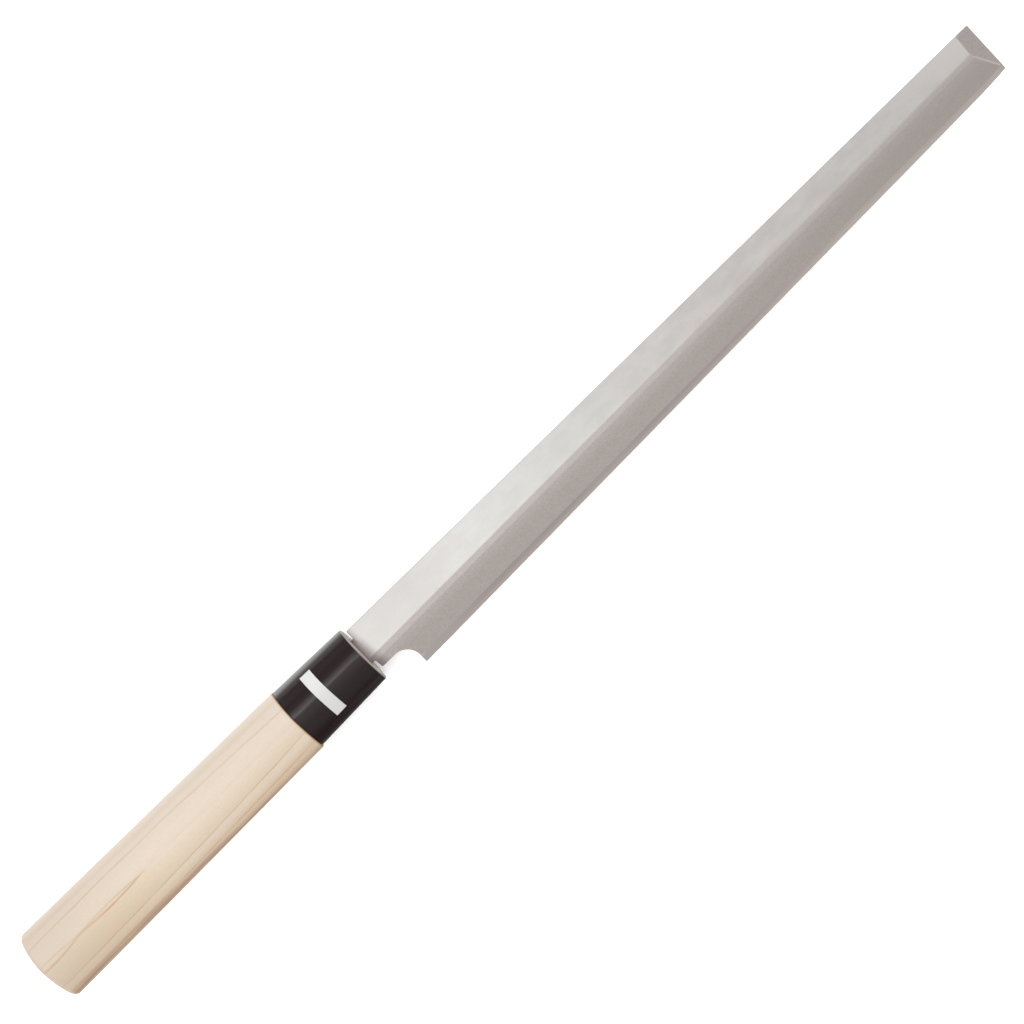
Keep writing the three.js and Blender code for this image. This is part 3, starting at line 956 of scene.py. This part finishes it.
# Plastic. The gloss fades run across the collar and add up.
PLASTIC_TONES = ((0.006, 0.0015, 0.0015, 1.0), (0.010, 0.0035, 0.0035, 1.0))
# Painted reflection: a pale grey tone on the collar's matte front face.
FRONT_REFLECTION_PLASTIC = (0.29, 0.25, 0.24, 1.0)
FRONT_FACE_FADE = (-COLLAR_RIM_EASE, -0.05)
SCRATCH_TONE = (0.05, 0.045, 0.045, 1.0)
SCRATCH_SHARE = 0.35
DUST = (0.45, 0.05, 0.4, (0.16, 0.15, 0.145, 1.0))
GLOSS_FADES = [
    (9.1, 10.6, 0.0, 1.0),
    (6.8, 8.6, 0.0, -0.25),
    (4.4, 6.4, 0.0, 0.22),
    (1.8, 3.6, 0.0, -0.22),
    (-5.0, -9.5, 0.0, -0.46),
]

# Paper and floor.
PAPER_TONES = ((0.465, 0.462, 0.456, 1.0), (0.525, 0.522, 0.516, 1.0))
FLOOR_TONES = (grey(0.965), grey(0.98))


def tip_bevel_plane():
    """The bevel near the tip as a plane: its slopes along X and Y and its height at the origin."""
    x, y = TIP_X - FACET_LENGTH / 2, EDGE_HEIGHT_TIP / 2
    slope_x = bevel_z(x + 0.5, y) - bevel_z(x - 0.5, y)
    slope_y = bevel_z(x, y + 0.5) - bevel_z(x, y - 0.5)
    return slope_x, slope_y, bevel_z(x, y) - slope_x * x - slope_y * y


def flat_tone(f, grain):
    """Satin grey, darker towards the heel by painted shade, and lighter at the spine's end of the tip."""
    cloud = f.ramp(f.noise((0.12, 0.25, 0.25), 4.0, 0.65), 0.25, 0.75)
    mottle = f.plus(f.times(cloud, CLOUD_SHARE), f.times(grain, 1.0 - CLOUD_SHARE))
    heel_side = f.blend(mottle, *FLAT_HEEL_TONES)
    tip_side = f.blend(mottle, *FLAT_TIP_TONES)
    tone = f.layer(heel_side, f.x, FLAT_TIP_FADE, tip_side)
    tone = f.layer(tone, f.x, *FLAT_HEEL_PAINTED_SHADE)
    towards_corner = f.along((1.0, FLAT_CORNER_LEAN, 0.0))
    return f.layer(tone, towards_corner, *FLAT_CORNER)


def bevel_tone(f, grain, above):
    """Hazy warm grey, lighter just under the flat, with a few stains and dark pits."""
    upper = f.blend(grain, *BEVEL_UPPER_TONES)
    lower = f.blend(grain, *BEVEL_LOWER_TONES)
    tone = f.layer(upper, above, BEVEL_LOWER_FADE, lower)
    tone = f.layer(tone, f.x, *BEVEL_TIP)
    return f.speckled(f.speckled(tone, *STAINS), *PITS)


def flat_share(f, above):
    """How much of the flat's look shows: none on the bevel, some on the worn strip and all above it."""
    worn = f.ramp(f.x, *WORN_SHARE_FADE)
    top = f.ramp(f.x, *WORN_TOP_FADE)
    on_strip = f.times(f.ramp(above, *WORN_LOWER_FADE), worn)
    return f.plus(on_strip, f.times(f.ramp(above, top, WORN_END), f.minus(1.0, worn)))


def iron_finish():
    """Satin flat, hazy bevel, facet with a painted highlight at its corner, painted shade on the neck,
    dark tang.
    """
    f = Finish("satin_iron")
    f.set(metallic=1.0)
    grain = f.noise((2.2, 2.2, 2.2), 3.0, 0.75)
    shade = f.ramp(grain, 0.3, 0.7)
    above = above_straight(f, shinogi_y)
    is_flat = flat_share(f, above)
    ground = f.blend(is_flat, bevel_tone(f, shade, above), flat_tone(f, grain))
    over_facet = f.minus(f.along((facet_slope(), -FACET_TILT, 1.0)), facet_z(0.0, 0.0))
    is_facet = f.ramp(over_facet, *FACET_FADE)
    ground = f.blend(is_facet, ground, f.blend(shade, *FACET_TONES))
    slope_x, slope_y, start = tip_bevel_plane()
    over_bevel = f.minus(f.along((-slope_x, -slope_y, 1.0)), start)
    from_corner = f.math("MAXIMUM", f.math("ABSOLUTE", over_facet), f.math("ABSOLUTE", over_bevel))
    # Painted highlight along the corner between facet and bevel.
    ground = f.layer(ground, from_corner, *FACET_CORNER_HIGHLIGHT)
    # Painted shade and painted collar reflection on the neck, with a wandering border.
    streak = f.math("MULTIPLY_ADD", f.noise((0.1, 0.9, 0.9), 2.0), NECK_WANDER, -NECK_WANDER / 2)
    from_collar = f.plus(f.along((1.0, NECK_LEAN, 0.0)), streak)
    ground = f.layer(ground, from_collar, *NECK_PAINTED_SHADE)
    f.set(base_color=f.layer(ground, f.x, TANG_FADE, f.blend(grain, *TANG_TONES)))
    is_satin = f.times(is_flat, f.minus(1.0, is_facet))
    roughness = f.ramp(is_satin, 0.0, 1.0, 0.50, 0.29)
    f.set(roughness=f.math("MULTIPLY_ADD", grain, 0.06, roughness))
    f.bump(f.times(grain, f.ramp(is_satin, 0.0, 1.0, 1.0, FLAT_BUMP_SHARE)), 0.004)
    return f.material


def band_tone(f, grain):
    """Tone of the band along the edge: mauve under the iron's border, paler towards edge and tip."""
    patch = f.ramp(f.noise((0.035, 0.1, 0.1), 2.0), 0.3, 0.6, 0.55, 1.0)
    rise = f.times(f.ramp(above_straight(f, straight_edge_y), *BAND_RISE_FADE), patch)

    def across(low_tones, high_tones):
        return f.blend(rise, f.blend(grain, *low_tones), f.blend(grain, *high_tones))

    heel_side = across(BAND_HEEL_LOW_TONES, BAND_HEEL_HIGH_TONES)
    tip_side = across(BAND_TIP_LOW_TONES, BAND_TIP_HIGH_TONES)
    start = f.blend(grain, *BAND_START_TONES)
    heel_side = f.layer(heel_side, f.x, BAND_START_FADE, start)
    return f.layer(heel_side, f.x, BAND_TIP_FADE, tip_side)


def steel_finish():
    """Stone-polished steel along the edge and over the hollow back."""
    f = Finish("edge_steel_polish")
    f.set(metallic=1.0)
    grain = f.noise((1.2, 3.2, 3.2), 3.0, 0.65)
    lines = f.noise((6.0, 0.15, 0.15), 2.0)
    facing = f.node("ShaderNodeNewGeometry").outputs["Normal"]
    upwards = f.node("ShaderNodeSeparateXYZ", {0: facing}).outputs[2]
    is_back = f.ramp(upwards, *BACK_FADE)
    f.set(base_color=f.blend(is_back, band_tone(f, grain), f.blend(lines, *BACK_TONES)))
    f.set(roughness=f.ramp(grain, 0.2, 0.8, 0.36, 0.46))
    f.bump(f.blend(is_back, grain, lines), 0.003)
    return f.material


def ridge_side_z(x, y):
    """Height of the grip's surface, on its ridge side, at a place along it and a height across it."""
    line_y, line_z = section_points(grip_section(x), np.linspace(math.pi, 0.0, RIDGE_SIDE_POINTS))
    return float(np.interp(y, line_y, line_z))


def above_line(f, leaning, heights):
    """Distance above a growth line whose heights on the ridge side are given at butt, middle and front."""
    places = (BUTT_RIM_X, GRIP_FRONT_X - GRIP_LENGTH / 2, GRIP_FRONT_X)
    butt, middle, front = (y + GRAIN_LEAN * ridge_side_z(x, y) for x, y in zip(places, heights))
    bend = 2.0 * (butt - 2.0 * middle + front)
    slope = front + bend - butt
    share = f.math("MULTIPLY_ADD", f.x, 1 / GRIP_LENGTH, -GRIP_FRONT_X / GRIP_LENGTH)
    tilt = f.math("MULTIPLY_ADD", share, bend, slope)
    return f.minus(leaning, f.math("MULTIPLY_ADD", tilt, share, front))


def with_heart_line(f, wood, above, patch):
    """Adds the heart line and the tan wood below it."""
    length = LENS_END - LENS_START
    phase = f.math("MULTIPLY_ADD", f.x, math.pi / length, -math.pi * LENS_START / length)
    half = f.times(f.ramp(f.x, *LENS_HALF_FADE), f.ramp(f.x, *LENS_CLOSING_FADE))
    lens = f.times(f.math("ABSOLUTE", f.math("SINE", phase)), half)
    from_upper = f.minus(above, lens)
    from_lower = f.plus(above, lens)
    below = f.plus(f.ramp(from_upper, *HEART_BELOW_FADE), f.ramp(from_lower, *HEART_BELOW_FADE))
    tan = f.layer(WARM_WOOD, f.x, TAN_FADE, TAN_WOOD)
    wood = f.blend(f.times(below, TAN_SHARE), wood, tan)
    shown = f.times(patch, f.ramp(f.x, *LENS_SHOWN_FADE))
    upper = f.times(f.ramp(f.math("ABSOLUTE", from_upper), *HEART_UPPER_FADE), shown)
    lower = f.times(f.ramp(f.math("ABSOLUTE", from_lower), *HEART_LOWER_FADE), shown)
    return f.blend(lower, f.blend(upper, wood, LINE_WOOD), LINE_WOOD)


def with_growth_line(f, wood, above, patch, line):
    """Adds a soft dark line, stronger in patches, with a shade that fades out above it."""
    over = f.ramp(above, *LINE_BORDER_FADE)
    shade = f.times(f.ramp(above, line.reach, 0.0, 0.0, line.shade_strength), over)
    dark = f.ramp(f.math("ABSOLUTE", above), line.width, 0.0, 0.0, line.line_strength)
    return f.blend(f.times(dark, patch), f.blend(shade, wood, UNDER_WOOD), LINE_WOOD)


def on_ridge_side(f):
    """1 above the middle of the handle's thickness, fading out below it."""
    return f.ramp(f.z, HANDLE_AXIS_Z - RIDGE_SIDE_REACH, HANDLE_AXIS_Z)


def with_low_shade(f, wood):
    """Paints shade along the grip's edge side, broken into streaks along the grain, over a wider strip
    towards the butt.
    """
    over_edge = above_straight(f, lambda x: grip_section(x).lift - grip_section(x).height / 2)
    over_edge = f.times(over_edge, f.ramp(f.x, *SHADE_WIDENING))
    shaded = f.times(f.ramp(over_edge, *SHADE_FADE), on_ridge_side(f))
    streaks = f.ramp(f.noise((0.025, 0.5, 1.1), 3.0, 0.6), 0.36, 0.6, 0.55, 1.15)
    return f.blend(f.times(shaded, streaks), wood, SHADED_WOOD)


def with_end_grain(f, wood):
    """Darkens both ends of the grip, where the grain is cut across, and greys the tenon's face."""
    for layer in (END_WOOD, JOINT_WOOD, TENON_WOOD):
        wood = f.layer(wood, f.x, *layer)
    return wood


def with_scorched_slot(f, wood):
    """Adds the scorch round the mouth of the tang's slot, on the tenon only."""
    off_height = f.math("ABSOLUTE", f.minus(f.y, TANG_LIFT_MOUTH))
    off_side = f.math("ABSOLUTE", f.minus(f.z, HANDLE_AXIS_Z))
    beyond_height = f.minus(off_height, TANG_HEIGHT_MOUTH / 2)
    beyond_side = f.minus(off_side, SPINE_THICKNESS_HEEL / 2)
    near_slot = f.ramp(f.math("MAXIMUM", beyond_height, beyond_side), *SCORCH_FADE)
    return f.blend(f.times(near_slot, f.ramp(f.x, *SCORCH_START_FADE)), wood, SCORCHED_WOOD)


def wood_finish():
    """Bare sanded magnolia with fine growth lines, a scorched slot mouth, and painted shade and sheen."""
    f = Finish("magnolia_wood")
    wander = f.math("MULTIPLY_ADD", f.noise((0.04, 0.1, 0.1), 3.0, 0.4), WANDER_SIZE, -WANDER_SIZE / 2)
    leaning = f.plus(f.along((0.0, 1.0, GRAIN_LEAN)), wander)
    fibre = f.noise((0.06, 1.2, 1.2), 4.0, 0.65)
    fleck = f.noise((0.7, 2.4, 2.4), 3.0, 0.6)
    patch = f.ramp(f.noise((0.11, 0.5, 0.5), 2.0), 0.3, 0.7, 0.6, 1.15)
    above = [above_line(f, leaning, line.heights) for line in GROWTH_LINES]
    wood = f.blend(fibre, CREAM_WOOD, PALE_WOOD)
    # Painted shade over the spine side.
    wood = f.layer(wood, above[1], *SPINE_SIDE_SHADE_WOOD)
    wood = with_heart_line(f, wood, above_line(f, leaning, HEART_LINE), patch)
    # Painted shade towards the butt.
    wood = f.layer(wood, f.x, *BUTT_PAINTED_SHADE_WOOD)
    wood = f.layer(wood, fleck, FLECK_FADE, UNDER_WOOD)
    # Painted sheen along the spine-side rim.
    wood = f.layer(wood, above[0], *RIM_SHEEN_WOOD)
    for line, over in zip(GROWTH_LINES, above):
        wood = with_growth_line(f, wood, over, patch, line)
    # Tanner wood and painted shade below the last growth line.
    wood = f.layer(wood, above[-1], UNDER_AND_SHADE_FADE, UNDER_WOOD)
    wood = with_end_grain(f, with_low_shade(f, wood))
    f.set(base_color=with_scorched_slot(f, wood))
    f.set(roughness=f.ramp(fibre, 0.2, 0.8, 0.50, 0.62), specular_ior_level=0.35)
    f.bump(f.plus(fibre, f.times(fleck, FLECK_BUMP_SHARE)), 0.02)
    return f.material


def plastic_finish():
    """Black semi-gloss plastic, duller in places, with a painted reflection on its front face, and dust.
    """
    f = Finish("black_plastic")
    drawn = f.noise((0.12, 1.6, 1.6), 3.0)
    hairline = f.ramp(f.noise((0.15, 5.0, 2.0), 1.0), 0.68, 0.74)
    scratch = f.times(hairline, f.ramp(drawn, 0.5, 0.62))
    tone = f.blend(drawn, *PLASTIC_TONES)
    tone = f.blend(f.times(scratch, SCRATCH_SHARE), tone, SCRATCH_TONE)
    tone = f.speckled(tone, *DUST)
    # The front face takes the painted reflection as its tone, and a matte roughness.
    on_front_face = f.ramp(f.x, *FRONT_FACE_FADE)
    f.set(base_color=f.blend(on_front_face, tone, FRONT_REFLECTION_PLASTIC))
    roughness = f.ramp(drawn, 0.2, 0.8, 0.17, 0.23)
    f.set(roughness=f.math("MAXIMUM", roughness, f.times(on_front_face, 0.6)))
    gloss = 0.0
    for fade in GLOSS_FADES:
        gloss = f.plus(gloss, f.ramp(f.y, *fade))
    f.set(specular_ior_level=f.math("MULTIPLY_ADD", gloss, on_ridge_side(f), 0.5))
    f.bump(drawn, 0.006)
    return f.material


def paper_finish():
    """White uncoated paper with a faint fibre."""
    f = Finish("label_paper")
    fibre = f.noise((5.0, 5.0, 5.0), 4.0, 0.7)
    f.set(base_color=f.blend(fibre, *PAPER_TONES), roughness=f.ramp(fibre, 0.2, 0.8, 0.7, 0.85))
    f.bump(fibre, 0.01)
    return f.material


def floor_finish():
    """Plain pale studio floor, lit a little from within so that shadows stay faint."""
    f = Finish("studio_floor")
    f.set(base_color=f.blend(f.noise((0.01, 0.01, 0.01), 2.0), *FLOOR_TONES), roughness=0.9)
    f.set(emission_color=grey(1.0), emission_strength=0.2)
    f.material.cycles.emission_sampling = "NONE"
    return f.material


def add_object(name, data):
    made = bpy.data.objects.new(name, data)
    bpy.context.scene.collection.objects.link(made)
    return made


def add_piece(mesh, material, node):
    """Puts a mesh where the knife lies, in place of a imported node."""
    piece = add_object(mesh.name, mesh)
    mesh.materials.append(material)
    mesh.transform(PLACEMENT)
    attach(piece, "root")
    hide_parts(node)


# Stage, light and camera.
FLOOR_SIZE = 60.0
CAMERA_DISTANCE = 750.0
VIEW_CENTRE = (63.98, -0.26)
VIEW_ROLL = math.radians(-44.25)
PIXELS_PER_MILLIMETRE = 3.2125
IMAGE_SIDE = 1024
SENSOR_WIDTH = 36.0

# Soft lights: name, place, length and width in metres, radiance, and whether metal and gloss mirror it.
SOFTBOXES = [
    ("overhead_softbox", (-0.25, 0.08, 1.0), 0.56, 0.7, 0.50, True),
    ("handle_softbox", (-0.12, -0.18, 1.0), 0.65, 0.2, 1.3, True),
    ("key_softbox", (0.85, 0.85, 1.0), 1.2, 1.2, 3.6, False),
    ("fill_softbox", (-1.2, -0.1, 1.0), 1.2, 1.2, 3.0, False),
]

# The room's light and its two darker walls: a direction and the fade of the light along it.
ROOM_LIGHT = ((-0.10, 0.0, 0.90), (-1.0, 1.0, 0.44, 1.02, "LINEAR"))
SPINE_WALL = ((0.0, 1.0, 0.0), (0.50, 0.92, 1.0, 0.62))
EDGE_WALL = ((0.0, -1.0, 0.0), (0.50, 0.92, 1.0, 0.55))


def add_floor():
    half = FLOOR_SIZE / 2
    mesh = bpy.data.meshes.new("floor")
    corners = [(-half, -half, 0.0), (half, -half, 0.0), (half, half, 0.0), (-half, half, 0.0)]
    mesh.from_pydata(corners, [], [(0, 1, 2, 3)])
    mesh.materials.append(floor_finish())
    floor = add_object("floor", mesh)


def add_softbox(name, place, length, width, radiance, is_mirrored):
    """A rectangular light that faces the knife, with the same radiance all over."""
    light = bpy.data.lights.new(name, "AREA")
    light.shape = "RECTANGLE"
    light.size = length
    light.size_y = width
    light.energy = radiance * math.pi * length * width
    box = add_object(name, light)
    box.location = place
    box.rotation_euler = (-Vector(place)).to_track_quat("-Z", "Y").to_euler()
    box.visible_camera = False
    box.visible_glossy = is_mirrored


def add_room_light():
    """A soft room, lighter overhead and towards the butt, and darker beside the spine and the edge."""
    world = bpy.data.worlds.new("studio_room")
    world.use_nodes = True
    room = NodeTree(world.node_tree)
    view = room.node("ShaderNodeTexCoord").outputs["Generated"]
    strength = 1.0
    for direction, fade in (ROOM_LIGHT, SPINE_WALL, EDGE_WALL):
        strength = room.times(strength, room.ramp(room.dot(view, direction), *fade))
    background = room.tree.nodes["Background"]
    room.feed(background.inputs["Strength"], strength)
    room.feed(background.inputs["Color"], grey(1.0))
    bpy.context.scene.world = world


def add_camera():
    """A camera square to the knife's length, turned so that the knife runs from corner to corner."""
    data = bpy.data.cameras.new("camera")
    data.sensor_width = SENSOR_WIDTH
    data.lens = PIXELS_PER_MILLIMETRE * CAMERA_DISTANCE / IMAGE_SIDE * SENSOR_WIDTH
    camera = add_object("camera", data)
    spot = Vector((*VIEW_CENTRE, HANDLE_AXIS_Z + CAMERA_DISTANCE)) * MILLIMETRE
    camera.matrix_world = PLACEMENT @ Matrix.Translation(spot) @ Matrix.Rotation(VIEW_ROLL, 4, "Z")
    bpy.context.scene.camera = camera


add_piece(iron_mesh(), iron_finish(), "blade")
add_piece(edge_steel_mesh(), steel_finish(), "edge_steel")
add_piece(handle_mesh(), wood_finish(), "handle")
add_piece(collar_mesh(), plastic_finish(), "collar")
add_piece(label_mesh(), paper_finish(), "label")
add_floor()
add_room_light()
for softbox in SOFTBOXES:
    add_softbox(*softbox)
add_camera()
bpy.context.scene.view_settings.view_transform = "Standard"
